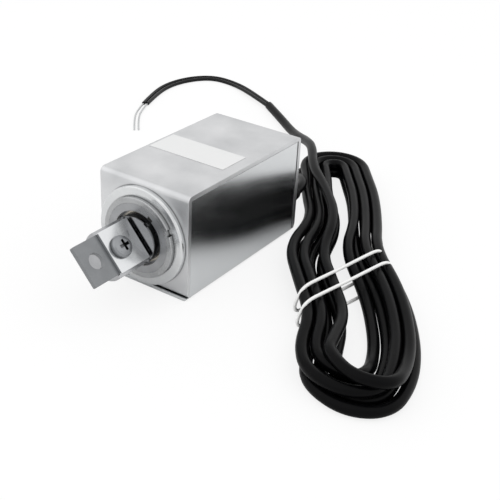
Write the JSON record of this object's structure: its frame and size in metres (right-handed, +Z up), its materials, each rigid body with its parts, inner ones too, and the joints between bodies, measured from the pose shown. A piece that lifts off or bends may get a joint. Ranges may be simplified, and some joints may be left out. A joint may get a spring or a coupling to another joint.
{
  "type": "pull solenoid",
  "caption": "Box-frame pull solenoid with a flattened plunger end and a tied hank of two-core cable.",
  "frame": {"origin": "middle of the flat underside of the case", "axes": "+Y along the plunger, from its open end towards the cable end; +Z up through the case; +X to the side where the cable leaves"},
  "size_m": [0.2907, 0.285, 0.0501],
  "materials": {
    "zinc_plate": "satin",
    "bright_zinc": "bright",
    "turned_steel": "satin",
    "polished_steel": "polished",
    "link_steel": "satin",
    "brass_tube": "satin",
    "copper_winding": "enamelled",
    "bobbin_plastic": "matte",
    "coil_tape": "gloss",
    "ring_plastic": "matte",
    "sleeve_plastic": "matte",
    "label_white": "matte",
    "black_rubber": "matte",
    "cable_jacket": "semi-matte",
    "tie_white": "matte",
    "tinned_wire": "tinned"
  },
  "bodies": {
    "case": {"channel": "zinc_plate", "wrap": "zinc_plate", "cover_screws": "bright_zinc", "mount_nuts": "bright_zinc", "pole_collar": "turned_steel", "flange_disc": "turned_steel", "ring_nut": "turned_steel", "guide_tube": "brass_tube", "bobbin": "bobbin_plastic", "winding": "copper_winding", "coil_tape": "coil_tape", "fixed_core": "turned_steel", "residual_disc": "brass_tube", "core_washer": "bright_zinc", "core_nut": "bright_zinc", "label": "label_white", "cable_gland": "black_rubber", "splice_sleeves": "sleeve_plastic", "inner_leads": "cable_jacket", "cable_run": "cable_jacket", "cable_tail": "cable_jacket", "cable_hank": "cable_jacket", "tie_band": "tie_white", "lead_a": "cable_jacket", "lead_b": "cable_jacket", "bare_end_a": "tinned_wire", "bare_end_b": "tinned_wire"},
    "slide_ring": {"guide_ring": "ring_plastic"},
    "plunger": {"plunger": "turned_steel", "link_plate": "link_steel", "clamp_plate": "polished_steel", "link_screw": "bright_zinc"}
  },
  "joints": [
    {"name": "plunger_slide", "type": "slide", "parent": "case", "child": "slide_ring", "axis": [0, 1, 0], "range_m": [0, 0.012]},
    {"name": "plunger_spin", "type": "hinge", "parent": "slide_ring", "child": "plunger", "pos_m": [0, -0.01, 0.025], "axis": [0, 1, 0], "continuous": true}
  ]
}
